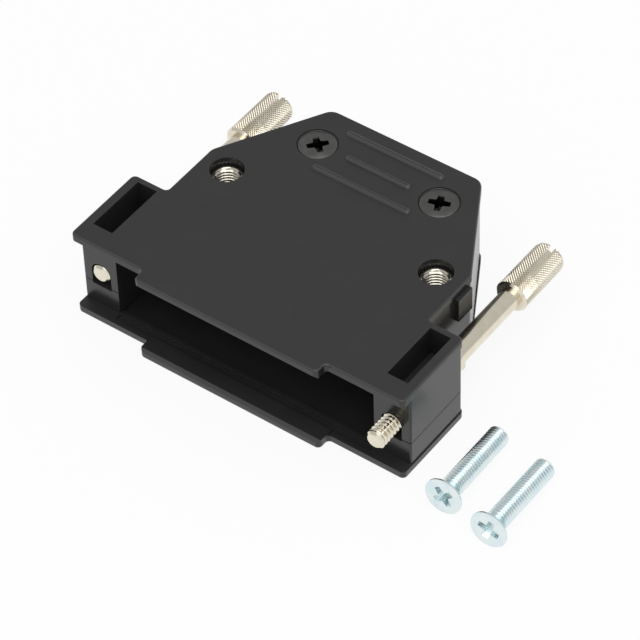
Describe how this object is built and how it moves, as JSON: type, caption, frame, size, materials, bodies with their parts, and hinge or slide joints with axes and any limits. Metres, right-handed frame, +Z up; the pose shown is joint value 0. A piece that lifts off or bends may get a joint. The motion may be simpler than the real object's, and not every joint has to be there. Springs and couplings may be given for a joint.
{
  "type": "d-sub hood",
  "caption": "Two-part moulded hood for a D-subminiature cable connector, with captive knurled jackscrews, grip ribs, screw inserts and clamp saddles for the cable.",
  "frame": {"origin": "on the bottom face, in the plane of symmetry, level with the face the connector's flange seats against", "axes": "+X across the two ears, +Y towards the cable, +Z up from the bottom face to the face with the grip ribs"},
  "size_m": [0.0709, 0.0446, 0.015],
  "materials": {
    "black_plastic": "fine matt moulded texture",
    "nickel": "nickel-plated",
    "brass_insert": "nickel-plated brass",
    "black_steel": "black oxide",
    "zinc": "bright zinc"
  },
  "bodies": {
    "hood": {"upper_shell": "black_plastic", "lower_shell": "black_plastic", "cable_clamp_upper": "black_plastic", "cable_clamp_lower": "black_plastic", "insert_left": "brass_insert", "insert_right": "brass_insert", "lower_insert_left": "brass_insert", "lower_insert_right": "brass_insert", "cover_screw_left": "black_steel", "cover_screw_right": "black_steel", "closing_screw_1": "zinc", "closing_screw_2": "zinc"},
    "left_collar": {"collar_left": "nickel"},
    "right_collar": {"collar_right": "nickel"},
    "left_jackscrew": {"thumbscrew_left": "nickel"},
    "right_jackscrew": {"thumbscrew_right": "nickel"}
  },
  "joints": [
    {"name": "left_slide", "type": "slide", "parent": "hood", "child": "left_collar", "axis": [0, -1, 0], "range_m": [0, 0.0035]},
    {"name": "right_slide", "type": "slide", "parent": "hood", "child": "right_collar", "axis": [0, 1, 0], "range_m": [0, 0.0035]},
    {"name": "left_spin", "type": "hinge", "parent": "left_collar", "child": "left_jackscrew", "pos_m": [-0.02352, 0.02, 0.0073], "axis": [0, 1, 0], "continuous": true},
    {"name": "right_spin", "type": "hinge", "parent": "right_collar", "child": "right_jackscrew", "pos_m": [0.02352, 0.02, 0.0073], "axis": [0, 1, 0], "continuous": true}
  ]
}
